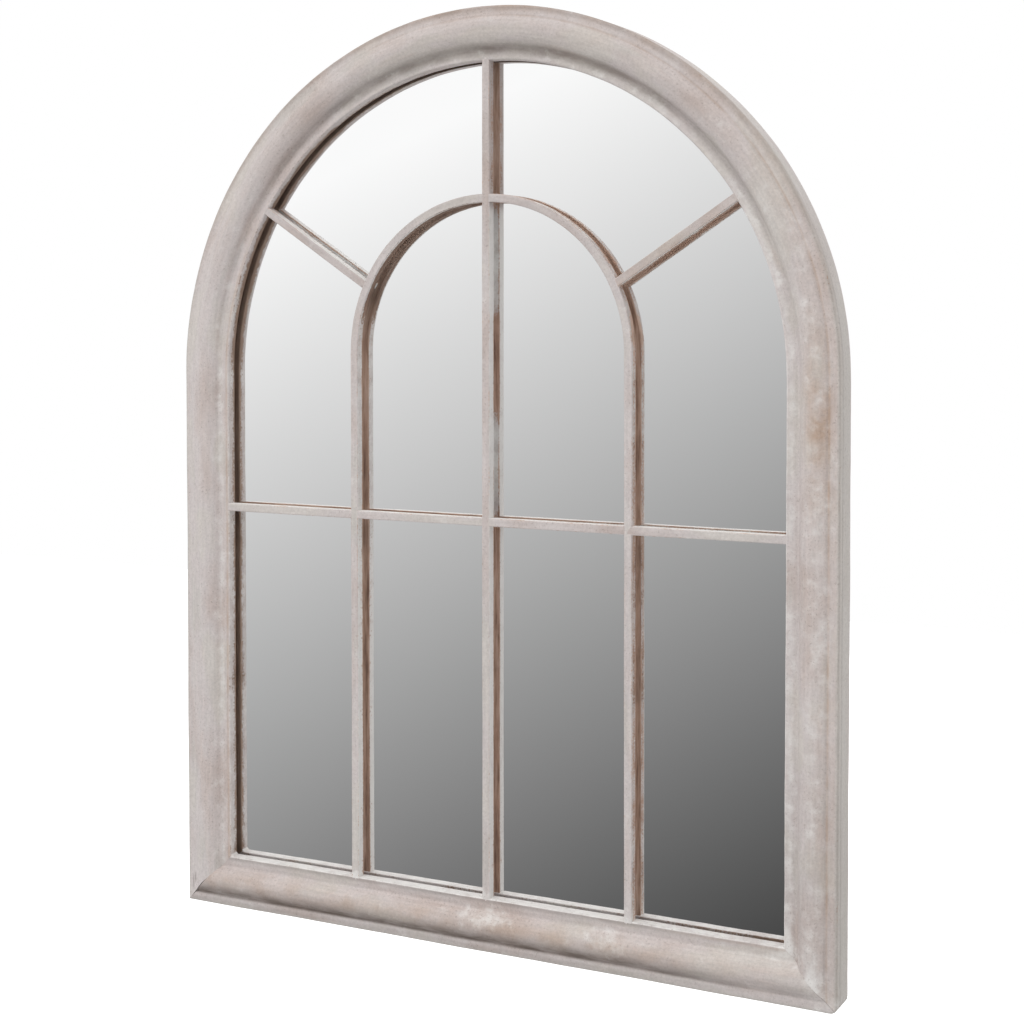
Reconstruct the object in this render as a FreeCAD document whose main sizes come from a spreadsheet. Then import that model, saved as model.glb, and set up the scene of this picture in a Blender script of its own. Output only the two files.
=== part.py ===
import FreeCAD, Part
import os

import Sketcher

# Arched wall mirror with a moulded wooden frame, a lattice of thin bars and one silvered sheet.
# The origin lies on the frame's back plane at the centre of the arch, level with the wall hooks.
# X runs across the mirror, Y towards the wall and Z up, so the front faces -Y.

SIZES = (
    # Overall outline
    ("arch_radius", 345),
    ("stile_height", 545),
    ("joint_angle", 45),
    # Moulding, from the outer edge inwards
    ("band_width", 9),
    ("edge_ease", 1.5),
    ("groove_width", 1.5),
    ("groove_drop", 1.5),
    ("torus_width", 27.5),
    ("torus_rise", 5),
    ("valley_drop", 5.5),
    ("lip_width", 12),
    ("lip_rise", 1),
    ("lip_ease", 1.5),
    ("rabbet_width", 12),
    # Layers behind the lip, from the back plane forwards
    ("back_recess", 7),
    ("board_thickness", 3),
    ("glass_thickness", 4),
    ("sheet_clearance", 1),
    # Lattice bars
    ("bar_width", 7),
    ("bar_depth", 9),
    ("bar_stand_off", 3),
    ("bar_proud", 0.5),
    ("bar_housing", 4),
    ("side_bar_pitch", 145),
    ("transom_drop", 137.5),
    ("inner_arch_rise", 21),
    ("radial_angle", 33),
    ("joint_clearance", 0.1),
    # Pins that fix the bars
    ("pin_radius", 0.7),
    ("pin_length", 11),
    ("pin_set", 0.5),
    # Dowels between the frame members
    ("dowel_radius", 4),
    ("dowel_length", 40),
    ("dowel_inset", 11),
    ("dowel_spacing", 16),
    ("dowel_depth", 14),
    # V-shaped nails across the mitres
    ("nail_leg", 7),
    ("nail_thickness", 0.8),
    ("nail_depth", 10),
    ("nail_set", 0.5),
    ("nail_inset", 10),
    ("nail_spacing", 14),
    # Points that hold the sheets in the rabbet
    ("point_reach", 8),
    ("point_width", 6),
    ("point_thickness", 0.8),
    # Strap hangers with swinging rings
    ("strap_width", 16),
    ("strap_length", 45),
    ("strap_thickness", 1.2),
    ("ring_wire_radius", 1.5),
    ("ring_clearance", 0.08),
    ("ring_lift", 0.3),
    ("ring_side_play", 0.5),
    ("ring_leg", 6),
    ("screw_radius", 1.75),
    ("screw_length", 14),
    ("screw_head_radius", 3.25),
    ("screw_head_height", 1.6),
    ("first_screw_drop", 9.5),
    ("second_screw_drop", 32),
    # Rubber bumpers on the bottom rail
    ("bumper_radius", 6),
    ("bumper_tip_radius", 5),
    ("bumper_height", 7),
    ("bumper_inset", 45),
    # Length by which cutting shapes run past what they cut
    ("overrun", 5),
)

# Places of the retaining points, as shares of the straight members and as angles on the arch
STILE_POINT_SHARES = (0.2, 0.5, 0.8)
RAIL_POINT_SHARES = (-0.6, 0, 0.6)
HAUNCH_POINT_ANGLES = (15, 38)
CROWN_POINT_ANGLES = (66, 114)

# Half of a bar's depth is cut away where two bars cross
LAP_SHARE = 0.5

doc = FreeCAD.newDocument("ArchedMirror")
sheet = doc.addObject("Spreadsheet::Sheet", "Sizes")
for row, (alias, size) in enumerate(SIZES, start=1):
    sheet.set(f"A{row}", alias)
    sheet.set(f"B{row}", str(size))
    sheet.setAlias(f"B{row}", alias)
doc.recompute()

# Worked-out sizes, as expressions on the sheet
FIT = "Sizes.joint_clearance"
TORUS_START = "(Sizes.band_width + Sizes.groove_width)"
VALLEY_INSET = f"({TORUS_START} + Sizes.torus_width)"
FACE_WIDTH = f"({VALLEY_INSET} + Sizes.lip_width)"
APERTURE = f"(Sizes.arch_radius - {FACE_WIDTH})"
RABBET_INSET = f"({FACE_WIDTH} - Sizes.rabbet_width)"
RABBET_RADIUS = f"(Sizes.arch_radius - {RABBET_INSET})"
BOARD_FACE = "(Sizes.back_recess + Sizes.board_thickness)"
RABBET_DEPTH = f"({BOARD_FACE} + Sizes.glass_thickness)"
BAR_BACK = f"({RABBET_DEPTH} + Sizes.bar_stand_off)"
BAR_FRONT = f"({BAR_BACK} + Sizes.bar_depth)"
BAR_MIDDLE = f"({BAR_BACK} + Sizes.bar_depth / 2)"
LIP_FRONT = f"({BAR_FRONT} - Sizes.bar_proud)"
VALLEY_DEPTH = f"({LIP_FRONT} - Sizes.lip_rise)"
BAND_DEPTH = f"({VALLEY_DEPTH} + Sizes.valley_drop)"
CROWN_DEPTH = f"({BAND_DEPTH} + Sizes.torus_rise)"
LAP_DEPTH = f"(Sizes.bar_depth * {LAP_SHARE})"
LAP_PLANE = f"({BAR_FRONT} - {LAP_DEPTH})"
LAP_LENGTH = "(Sizes.bar_width + 2 * Sizes.overrun)"
HALF_BAR = "(Sizes.bar_width / 2)"
SILL = f"(Sizes.stile_height - {FACE_WIDTH})"
HOUSED_SILL = f"({SILL} + Sizes.bar_housing)"
HOUSED_APERTURE = f"({APERTURE} + Sizes.bar_housing)"
PIN_APERTURE = f"({APERTURE} + Sizes.bar_housing / 2)"
PIN_SILL = f"({SILL} + Sizes.bar_housing / 2)"
PIN_FACE = f"({BAR_FRONT} - Sizes.pin_set)"
HALF_PIN = "(Sizes.pin_length / 2)"
ARCH_OUTSIDE = f"(Sizes.side_bar_pitch + {HALF_BAR})"
ARCH_INSIDE = f"(Sizes.side_bar_pitch - {HALF_BAR})"
ARCH_CROWN = "(Sizes.inner_arch_rise + Sizes.side_bar_pitch)"
RADIAL_MEETING = (f"(Sizes.inner_arch_rise * sin(Sizes.radial_angle)"
                  f" + sqrt({ARCH_OUTSIDE}^2 - (Sizes.inner_arch_rise * cos(Sizes.radial_angle))^2))")
RADIAL_START = f"({RADIAL_MEETING} - Sizes.bar_width)"
SHEET_RADIUS = f"({RABBET_RADIUS} - Sizes.sheet_clearance)"
SHEET_DROP = f"(Sizes.stile_height - {RABBET_INSET} - Sizes.sheet_clearance)"
RABBET_DROP = f"(Sizes.stile_height - {RABBET_INSET})"
RING_HALF_WIDTH = "(Sizes.strap_width / 2 + Sizes.ring_wire_radius + Sizes.ring_side_play)"
EYE_BORE = "(Sizes.ring_wire_radius + Sizes.ring_clearance)"
EYE_OUTSIDE = f"({EYE_BORE} + Sizes.strap_thickness)"
EYE_DEPTH = "(Sizes.strap_thickness + Sizes.ring_wire_radius + Sizes.ring_lift)"
EYE_DROP = f"(Sizes.ring_leg + {RING_HALF_WIDTH} - Sizes.ring_wire_radius)"
HANGER_X = f"(Sizes.arch_radius - {RABBET_INSET} / 2)"

X_AXIS = FreeCAD.Vector(1, 0, 0)
Y_AXIS = FreeCAD.Vector(0, 1, 0)
SKETCH_ORIGIN = (-1, 1)


def value(expression):
    """The present value of an expression on the sheet."""
    return float(sheet.evalExpression(expression))


def bind(feature, **expressions):
    """Bind a feature's properties to expressions on the sheet."""
    for name, expression in expressions.items():
        feature.setExpression(name, expression)
    return feature


def place(feature, x="0", y="0", z="0", axis=None, angle="0"):
    """Bind a feature's place, and its turn about an axis."""
    if axis is not None:
        feature.Placement = FreeCAD.Placement(FreeCAD.Vector(), FreeCAD.Rotation(axis, value(angle)))
        feature.setExpression("Placement.Rotation.Angle", angle)
    feature.setExpression("Placement.Base.x", x)
    feature.setExpression("Placement.Base.y", y)
    feature.setExpression("Placement.Base.z", z)
    return feature


def block(name, low, size, angle=None, grow="0"):
    """A box from its low corner and size, grown on all sides, then turned about the arch's axis."""
    box = doc.addObject("Part::Box", name)
    length, width, height = (f"{edge} + 2 * {grow}" for edge in size)
    bind(box, Length=length, Width=width, Height=height)
    x, y, z = (f"({corner} - {grow})" for corner in low)
    if angle is None:
        return place(box, x, y, z)
    turned_x = f"{x} * cos({angle}) - {z} * sin({angle})"
    turned_z = f"{x} * sin({angle}) + {z} * cos({angle})"
    return place(box, turned_x, y, turned_z, Y_AXIS, f"-({angle})")


def rod(name, radius, length, grow="0"):
    """A round rod along Z, its radius grown and its length grown at both ends."""
    cylinder = doc.addObject("Part::Cylinder", name)
    return bind(cylinder, Radius=f"{radius} + {grow}", Height=f"{length} + 2 * {grow}")


def group(name, features):
    """Several separate solids that share one node."""
    compound = doc.addObject("Part::Compound", name)
    compound.Links = features
    return compound


def joined(name, features):
    """One shape joined from several."""
    fuse = doc.addObject("Part::MultiFuse", name)
    fuse.Shapes = features
    return fuse


def cut(name, base, cutters):
    """A base with cutters taken away."""
    result = doc.addObject("Part::Cut", name)
    result.Base = base
    result.Tool = joined(name + "_cuts", cutters) if len(cutters) > 1 else cutters[0]
    return result


def mirrored(name, source):
    """The left-hand twin of a right-hand piece."""
    twin = doc.addObject("Part::Mirroring", name)
    twin.Source = source
    twin.Normal = X_AXIS
    return twin


def both_sides(features):
    """Right-hand pieces with their left-hand twins."""
    return features + [mirrored(feature.Name + "_twin", feature) for feature in features]


def outline(body, name, role, corners, arcs):
    """A closed sketch on an origin plane. Each corner is a pair of expressions, and arcs gives,
    for the stretch after a corner, a point that it passes through as a circular arc."""
    plane = next(item for item in body.Origin.OriginFeatures if item.Role == role)
    sketch = body.newObject("Sketcher::SketchObject", name)
    sketch.AttachmentSupport = (plane, [""])
    sketch.MapMode = "FlatFace"

    def vector(pair):
        return FreeCAD.Vector(value(pair[0]), value(pair[1]), 0)

    def fix(geometry, end, pair):
        for kind, expression in zip(("DistanceX", "DistanceY"), pair):
            constraint = Sketcher.Constraint(kind, *SKETCH_ORIGIN, geometry, end, value(expression))
            index = sketch.addConstraint(constraint)
            sketch.setExpression(f"Constraints[{index}]", expression)

    points = [vector(corner) for corner in corners]
    ends = []
    for index, start in enumerate(points):
        finish = points[(index + 1) % len(points)]
        clockwise = False
        curve = Part.LineSegment(start, finish)
        if index in arcs:
            middle = vector(arcs[index])
            clockwise = (middle - start).cross(finish - middle).z < 0
            curve = Part.Arc(finish, middle, start) if clockwise else Part.Arc(start, middle, finish)
        sketch.addGeometry(curve)
        ends.append((2, 1) if clockwise else (1, 2))
    for index, corner in enumerate(corners):
        before = (index - 1) % len(corners)
        joint = Sketcher.Constraint("Coincident", before, ends[before][1], index, ends[index][0])
        sketch.addConstraint(joint)
        fix(index, ends[index][0], corner)
    for index, middle in arcs.items():
        point = sketch.addGeometry(Part.Point(vector(middle)), True)
        sketch.addConstraint(Sketcher.Constraint("PointOnObject", point, 1, index))
        fix(point, 1, middle)
    return sketch


# Frame members before their joints are cut


def moulding(inset, depth):
    """A profile point from its inset from the outer edge and its depth in front of the back plane."""
    return f"Sizes.arch_radius - {inset}", f"-{depth}"


TORUS_FOOT = moulding(TORUS_START, f"({BAND_DEPTH} - Sizes.groove_drop)")
PROFILE = [
    moulding("0", "0"),
    moulding("0", f"({BAND_DEPTH} - Sizes.edge_ease)"),
    moulding("Sizes.edge_ease", BAND_DEPTH),
    moulding("Sizes.band_width", BAND_DEPTH),
    TORUS_FOOT,
    moulding(VALLEY_INSET, VALLEY_DEPTH),
    moulding(f"({FACE_WIDTH} - Sizes.lip_ease)", LIP_FRONT),
    moulding(FACE_WIDTH, f"({LIP_FRONT} - Sizes.lip_ease)"),
    moulding(FACE_WIDTH, RABBET_DEPTH),
    moulding(RABBET_INSET, RABBET_DEPTH),
    moulding(RABBET_INSET, "0"),
]
TORUS_ARC = {PROFILE.index(TORUS_FOOT): moulding(f"({TORUS_START} + Sizes.torus_width / 2)", CROWN_DEPTH)}


def straight_member(name, length):
    """A straight length of the moulding, hanging down from the level of the arch's centre."""
    body = doc.addObject("PartDesign::Body", name)
    sketch = outline(body, name + "_profile", "XY_Plane", PROFILE, TORUS_ARC)
    pad = body.newObject("PartDesign::Pad", name + "_pad")
    pad.Profile = sketch
    pad.Reversed = True
    bind(pad, Length=length)
    return body


def curved_member(name, sweep):
    """A stretch of the moulding turned about the arch's axis, upwards from the spring line."""
    body = doc.addObject("PartDesign::Body", name)
    sketch = outline(body, name + "_profile", "XY_Plane", PROFILE, TORUS_ARC)
    turn = body.newObject("PartDesign::Revolution", name + "_turn")
    turn.Profile = sketch
    turn.ReferenceAxis = (sketch, ["V_Axis"])
    turn.Reversed = True
    bind(turn, Angle=sweep)
    return body


def arched_sheet(name, thickness, depth):
    """A flat sheet with a square foot and a round head, its back at a depth in the rabbet."""
    body = doc.addObject("PartDesign::Body", name)
    corners = [
        (f"-{SHEET_RADIUS}", f"-{SHEET_DROP}"),
        (SHEET_RADIUS, f"-{SHEET_DROP}"),
        (SHEET_RADIUS, "0"),
        (f"-{SHEET_RADIUS}", "0"),
    ]
    sketch = outline(body, name + "_outline", "XZ_Plane", corners, {2: ("0", SHEET_RADIUS)})
    pad = body.newObject("PartDesign::Pad", name + "_pad")
    pad.Profile = sketch
    bind(pad, Length=thickness)
    return place(body, y=f"-{depth}")


def mitre(name, turn, start):
    """Clears what lies beyond the right-hand mitre. The turn picks the side of the mitre, and the
    start is the distance up the mitre from the outer corner at which the clearing shape begins."""
    box = doc.addObject("Part::Box", name)
    bind(box, Length=f"2 * {FACE_WIDTH} + Sizes.overrun", Height=FACE_WIDTH,
         Width=f"{CROWN_DEPTH} + 2 * Sizes.overrun")
    return place(box, f"Sizes.arch_radius - {start} * cos(45)", f"-{CROWN_DEPTH} - Sizes.overrun",
                 f"-Sizes.stile_height + {start} * sin(45)", Y_AXIS, turn)


right_stile_blank = straight_member("right_stile_blank", "Sizes.stile_height")
rail_blank = straight_member("rail_blank", "2 * Sizes.arch_radius")
place(rail_blank, x="Sizes.arch_radius", z="Sizes.arch_radius - Sizes.stile_height",
      axis=Y_AXIS, angle="90")
right_haunch_blank = curved_member("right_haunch_blank", "Sizes.joint_angle")
crown_blank = curved_member("crown_blank", "180 - 2 * Sizes.joint_angle")
place(crown_blank, axis=Y_AXIS, angle="-Sizes.joint_angle")
stile_mitre = mitre("stile_mitre", "225", "(-Sizes.overrun)")
rail_mitre = mitre("rail_mitre", "45", f"(2 * {FACE_WIDTH})")

# Lattice bars before their laps are cut


def upright(name, x, drop, rise, grow="0"):
    """An upright bar, from a drop below the arch's centre to a rise above it."""
    return block(name, (f"{x} - {HALF_BAR}", f"-{BAR_FRONT}", f"-{drop}"),
                 ("Sizes.bar_width", "Sizes.bar_depth", f"({drop} + {rise})"), grow=grow)


def level(name, grow="0"):
    """The level bar between the stiles."""
    return block(name, (f"-{HOUSED_APERTURE}", f"-{BAR_FRONT}", f"-Sizes.transom_drop - {HALF_BAR}"),
                 (f"2 * {HOUSED_APERTURE}", "Sizes.bar_depth", "Sizes.bar_width"), grow=grow)


def radial(name, grow="0"):
    """The slanting bar from the inner arch to the frame."""
    return block(name, (RADIAL_START, f"-{BAR_FRONT}", f"-{HALF_BAR}"),
                 (f"({HOUSED_APERTURE} - {RADIAL_START})", "Sizes.bar_depth", "Sizes.bar_width"),
                 "Sizes.radial_angle", grow)


def disc(name, radius, sweep, grow="0"):
    """A flat disc, or part of one, about the inner arch's centre and as deep as a bar."""
    cylinder = doc.addObject("Part::Cylinder", name)
    bind(cylinder, Radius=radius, Height=f"Sizes.bar_depth + 2 * {grow}", Angle=sweep)
    return place(cylinder, y=f"-({BAR_BACK} - {grow})", z="Sizes.inner_arch_rise",
                 axis=X_AXIS, angle="90")


def front_lap(name, x, z):
    """Clears the front half of a bar where an upright bar passes."""
    return block(name, (f"{x} - {HALF_BAR}", f"-{BAR_FRONT} - Sizes.overrun", f"{z} - {LAP_LENGTH} / 2"),
                 ("Sizes.bar_width", f"({LAP_DEPTH} + Sizes.overrun)", LAP_LENGTH), grow=FIT)


def back_lap(name, x, z):
    """Clears the back half of an upright bar where another bar passes."""
    return block(name, (f"{x} - {LAP_LENGTH} / 2", f"-{LAP_PLANE}", f"{z} - {HALF_BAR}"),
                 (LAP_LENGTH, f"({LAP_DEPTH} + Sizes.overrun)", "Sizes.bar_width"), grow=FIT)


def lattice(suffix, grow="0"):
    """The centre bar, the right side bar, the level bar and the right radial, plain or grown."""
    return (
        upright("centre_bar" + suffix, "0", HOUSED_SILL, HOUSED_APERTURE, grow),
        upright("side_bar" + suffix, "Sizes.side_bar_pitch", HOUSED_SILL, "Sizes.inner_arch_rise", grow),
        level("transom" + suffix, grow),
        radial("radial" + suffix, grow),
    )


centre_blank, side_blank, transom_blank, radial_blank = lattice("_blank")
centre_housing, side_housing, transom_housing, radial_housing = lattice("_housing", FIT)

# Pins through the housed bar ends into the lip, and along the butt joints of the inner arch


def lip_pin(name, x, z, grow="0"):
    """A pin driven back through a housed bar end and set below the bar's face."""
    pin = rod(name, "Sizes.pin_radius", "Sizes.pin_length", grow)
    return place(pin, x, f"-{PIN_FACE} - {grow}", z, X_AXIS, "-90")


def pins(suffix, grow="0"):
    """The pins on the middle line and on the right-hand side."""
    spring = rod("spring_pin" + suffix, "Sizes.pin_radius", "Sizes.pin_length", grow)
    place(spring, "Sizes.side_bar_pitch", f"-{BAR_MIDDLE}", f"Sizes.inner_arch_rise - {HALF_PIN} - {grow}")
    butt = rod("butt_pin" + suffix, "Sizes.pin_radius", "Sizes.pin_length", grow)
    start = f"({RADIAL_MEETING} - {HALF_PIN} - {grow})"
    place(butt, f"{start} * cos(Sizes.radial_angle)", f"-{BAR_MIDDLE}",
          f"{start} * sin(Sizes.radial_angle)", Y_AXIS, "90 - Sizes.radial_angle")
    return {
        "foot": lip_pin("foot_pin" + suffix, "0", f"-{PIN_SILL}", grow),
        "head": lip_pin("head_pin" + suffix, "0", PIN_APERTURE, grow),
        "side": lip_pin("side_pin" + suffix, "Sizes.side_bar_pitch", f"-{PIN_SILL}", grow),
        "transom": lip_pin("transom_pin" + suffix, PIN_APERTURE, "-Sizes.transom_drop", grow),
        "radial": lip_pin("radial_pin" + suffix, f"{PIN_APERTURE} * cos(Sizes.radial_angle)",
                          f"{PIN_APERTURE} * sin(Sizes.radial_angle)", grow),
        "spring": spring,
        "butt": butt,
    }


pin = pins("")
pin_hole = pins("_hole", FIT)

# Dowels on the right-hand joints of the arch


def dowels(suffix, angle, grow="0"):
    """Two dowels across the joint at an angle up the arch."""
    pair = []
    for number in range(2):
        dowel = rod(f"dowel_{suffix}_{number}", "Sizes.dowel_radius", "Sizes.dowel_length", grow)
        radius = f"(Sizes.arch_radius - Sizes.dowel_inset - {number} * Sizes.dowel_spacing)"
        along = f"(-Sizes.dowel_length / 2 - {grow})"
        place(dowel, f"{radius} * cos({angle}) - {along} * sin({angle})", "-Sizes.dowel_depth",
              f"{radius} * sin({angle}) + {along} * cos({angle})", Y_AXIS, f"-({angle})")
        pair.append(dowel)
    return pair


spring_dowels = dowels("spring", "0")
spring_dowel_holes = dowels("spring_hole", "0", FIT)
shoulder_dowels = dowels("shoulder", "Sizes.joint_angle")
shoulder_dowel_holes = dowels("shoulder_hole", "Sizes.joint_angle", FIT)

# Nails across the right-hand mitre, with one leg in the rail and one in the stile


def v_nails(suffix, grow="0"):
    """Nails in a row along the mitre, driven in from the back."""
    half = "(Sizes.nail_thickness / 2)"
    depth = "(-Sizes.nail_set - Sizes.nail_depth)"
    leg = f"(Sizes.nail_leg + {half})"
    nail_row = []
    for number in range(2):
        inset = f"(Sizes.nail_inset + {number} * Sizes.nail_spacing)"
        x = f"(Sizes.arch_radius - {inset})"
        z = f"({inset} - Sizes.stile_height)"
        rail_corner = (f"{x} - Sizes.nail_leg", depth, f"{z} - {half}")
        rail_leg = block(f"nail_rail_leg{suffix}_{number}", rail_corner,
                         (leg, "Sizes.nail_depth", "Sizes.nail_thickness"), grow=grow)
        stile_corner = (f"{x} - {half}", depth, f"{z} - {half}")
        stile_leg = block(f"nail_stile_leg{suffix}_{number}", stile_corner,
                          ("Sizes.nail_thickness", "Sizes.nail_depth", leg), grow=grow)
        nail_row.append(joined(f"v_nail{suffix}_{number}", [rail_leg, stile_leg]))
    return nail_row


nails = v_nails("")
nail_slots = v_nails("_slot", FIT)

# Retaining points, half in the rabbet's wall and half over the backing board


def side_point(name, drop_share, grow="0"):
    """A point in the right-hand stile."""
    z = f"-{SILL} * {drop_share} - Sizes.point_width / 2"
    return block(name, (f"{RABBET_RADIUS} - Sizes.point_reach", "-Sizes.back_recess", z),
                 ("2 * Sizes.point_reach", "Sizes.point_thickness", "Sizes.point_width"), grow=grow)


def foot_point(name, across_share, grow="0"):
    """A point in the bottom rail."""
    x = f"{APERTURE} * {across_share} - Sizes.point_width / 2"
    return block(name, (x, "-Sizes.back_recess", f"-{RABBET_DROP} - Sizes.point_reach"),
                 ("Sizes.point_width", "Sizes.point_thickness", "2 * Sizes.point_reach"), grow=grow)


def arch_point(name, angle, grow="0"):
    """A point in the arch."""
    corner = (f"{RABBET_RADIUS} - Sizes.point_reach", "-Sizes.back_recess", "-Sizes.point_width / 2")
    return block(name, corner, ("2 * Sizes.point_reach", "Sizes.point_thickness", "Sizes.point_width"),
                 str(angle), grow)


def points(make, name, places, grow="0"):
    """A row of points made alike."""
    return [make(f"{name}_{number}", spot, grow) for number, spot in enumerate(places)]


stile_points = points(side_point, "stile_point", STILE_POINT_SHARES)
stile_slots = points(side_point, "stile_slot", STILE_POINT_SHARES, FIT)
rail_points = points(foot_point, "rail_point", RAIL_POINT_SHARES)
rail_slots = points(foot_point, "rail_slot", RAIL_POINT_SHARES, FIT)
haunch_points = points(arch_point, "haunch_point", HAUNCH_POINT_ANGLES)
haunch_slots = points(arch_point, "haunch_slot", HAUNCH_POINT_ANGLES, FIT)
crown_points = points(arch_point, "crown_point", CROWN_POINT_ANGLES)
crown_slots = points(arch_point, "crown_slot", CROWN_POINT_ANGLES, FIT)

# Strap hanger on the back of the right-hand stile


def shank(name, drop, grow="0"):
    """A screw's shank, forwards from the strap's outer face."""
    screw = rod(name, "Sizes.screw_radius", "Sizes.screw_length", grow)
    return place(screw, HANGER_X, f"Sizes.strap_thickness + {grow}", f"-{EYE_DROP} - {drop}", X_AXIS, "90")


def screw_head(name, drop):
    """A screw's round head on the strap."""
    head = rod(name, "Sizes.screw_head_radius", "Sizes.screw_head_height")
    return place(head, HANGER_X, "Sizes.strap_thickness", f"-{EYE_DROP} - {drop}", X_AXIS, "-90")


def cross_rod(name, radius, length):
    """A rod along X through the hanger's eye."""
    piece = rod(name, radius, length)
    return place(piece, f"{HANGER_X} - {length} / 2", EYE_DEPTH, f"-{EYE_DROP}", Y_AXIS, "90")


def ring_leg(name, side):
    """One straight leg of the ring."""
    leg = rod(name, "Sizes.ring_wire_radius", "Sizes.ring_leg")
    return place(leg, f"{HANGER_X} + {side} * {RING_HALF_WIDTH}", EYE_DEPTH,
                 f"-{EYE_DROP} - Sizes.ring_leg")


def ring_corner(name, side):
    """One rounded corner of the ring, at the end of its cross wire."""
    ball = bind(doc.addObject("Part::Sphere", name), Radius="Sizes.ring_wire_radius")
    return place(ball, f"{HANGER_X} + {side} * {RING_HALF_WIDTH}", EYE_DEPTH, f"-{EYE_DROP}")


shank_holes = []
screws = []
for number, drop in enumerate(("Sizes.first_screw_drop", "Sizes.second_screw_drop")):
    shank_holes.append(shank(f"shank_hole_{number}", drop, FIT))
    halves = [shank(f"shank_{number}", drop), screw_head(f"head_{number}", drop)]
    screws.append(joined(f"screw_{number}", halves))

strap_corner = (f"{HANGER_X} - Sizes.strap_width / 2", "0", f"-{EYE_DROP} - Sizes.strap_length")
strap_plate = block("strap_plate", strap_corner,
                    ("Sizes.strap_width", "Sizes.strap_thickness", "Sizes.strap_length"))
strap_blank = joined("strap_blank", [strap_plate, cross_rod("strap_eye", EYE_OUTSIDE, "Sizes.strap_width")])
eye_bore = cross_rod("eye_bore", EYE_BORE, "(Sizes.strap_width + 2 * Sizes.overrun)")
right_strap = cut("right_hanger_strap", strap_blank, [eye_bore] + shank_holes)

ring_bow = bind(doc.addObject("Part::Torus", "ring_bow"), Radius1=RING_HALF_WIDTH,
                Radius2="Sizes.ring_wire_radius", Angle3="180")
place(ring_bow, HANGER_X, EYE_DEPTH, f"-{EYE_DROP} - Sizes.ring_leg", X_AXIS, "-90")
ring_wires = [cross_rod("ring_cross", "Sizes.ring_wire_radius", f"(2 * {RING_HALF_WIDTH})"), ring_bow]
for word, side in (("inner", -1), ("outer", 1)):
    ring_wires.append(ring_leg(f"ring_leg_{word}", side))
    ring_wires.append(ring_corner(f"ring_corner_{word}", side))
right_ring = joined("right_hanger_ring", ring_wires)

# Bumper on the bottom rail's back
bumper = bind(doc.addObject("Part::Cone", "bumper"), Radius1="Sizes.bumper_radius",
              Radius2="Sizes.bumper_tip_radius", Height="Sizes.bumper_height")
place(bumper, "Sizes.arch_radius - Sizes.bumper_inset", "0",
      f"{RABBET_INSET} / 2 - Sizes.stile_height", X_AXIS, "-90")

# Finished pieces
right_stile = cut("right_stile", right_stile_blank, [stile_mitre, transom_housing, pin_hole["transom"]]
                  + spring_dowel_holes + nail_slots + stile_slots + shank_holes)
bottom_rail = cut("bottom_rail", rail_blank, [centre_housing, pin_hole["foot"]] + rail_slots
                  + both_sides([rail_mitre, side_housing, pin_hole["side"]] + nail_slots))
right_haunch = cut("right_haunch", right_haunch_blank, [radial_housing, pin_hole["radial"]]
                   + spring_dowel_holes + shoulder_dowel_holes + haunch_slots)
crown = cut("crown", crown_blank, [centre_housing, pin_hole["head"]] + crown_slots
            + both_sides(shoulder_dowel_holes))

side_lap = back_lap("side_back_lap", "Sizes.side_bar_pitch", "-Sizes.transom_drop")
right_side_bar = cut("right_side_bar", side_blank, [side_lap, pin_hole["side"], pin_hole["spring"]])
centre_bar = cut("centre_bar", centre_blank, [
    back_lap("centre_back_lap", "0", "-Sizes.transom_drop"),
    back_lap("crown_back_lap", "0", ARCH_CROWN),
    pin_hole["foot"],
    pin_hole["head"],
])
transom_bar = cut("transom_bar", transom_blank, [
    front_lap("centre_front_lap", "0", "-Sizes.transom_drop"),
] + both_sides([
    front_lap("side_front_lap", "Sizes.side_bar_pitch", "-Sizes.transom_drop"),
    pin_hole["transom"],
]))
inner_arch_blank = cut("inner_arch_blank", disc("arch_outside", ARCH_OUTSIDE, "180"),
                       [disc("arch_inside", ARCH_INSIDE, "360", "Sizes.overrun")])
inner_arch_bar = cut("inner_arch_bar", inner_arch_blank, [front_lap("crown_front_lap", "0", ARCH_CROWN)]
                     + both_sides([pin_hole["spring"], pin_hole["butt"]]))
radial_end = disc("radial_end", f"{ARCH_OUTSIDE} + {FIT}", "360", "Sizes.overrun")
right_radial_bar = cut("right_radial_bar", radial_blank, [radial_end, pin_hole["radial"], pin_hole["butt"]])

side_pins = [pin["side"], pin["transom"], pin["radial"], pin["spring"], pin["butt"]]
NODES = {
    "left_stile": mirrored("left_stile", right_stile),
    "right_stile": right_stile,
    "bottom_rail": bottom_rail,
    "left_haunch": mirrored("left_haunch", right_haunch),
    "right_haunch": right_haunch,
    "crown": crown,
    "arch_dowels": group("arch_dowels", both_sides(spring_dowels + shoulder_dowels)),
    "corner_v_nails": group("corner_v_nails", both_sides(nails)),
    "centre_bar": centre_bar,
    "transom_bar": transom_bar,
    "left_side_bar": mirrored("left_side_bar", right_side_bar),
    "right_side_bar": right_side_bar,
    "inner_arch_bar": inner_arch_bar,
    "left_radial_bar": mirrored("left_radial_bar", right_radial_bar),
    "right_radial_bar": right_radial_bar,
    "bar_pins": group("bar_pins", [pin["foot"], pin["head"]] + both_sides(side_pins)),
    "mirror_glass": arched_sheet("mirror_glass", "Sizes.glass_thickness", BOARD_FACE),
    "backing_board": arched_sheet("backing_board", "Sizes.board_thickness", "Sizes.back_recess"),
    "retaining_points": group("retaining_points", rail_points + crown_points
                              + both_sides(stile_points + haunch_points)),
    "left_hanger_strap": mirrored("left_hanger_strap", right_strap),
    "right_hanger_strap": right_strap,
    "left_hanger_ring": mirrored("left_hanger_ring", right_ring),
    "right_hanger_ring": right_ring,
    "hanger_screws": group("hanger_screws", both_sides(screws)),
    "wall_bumpers": group("wall_bumpers", both_sides([bumper])),
}
doc.recompute()

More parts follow.
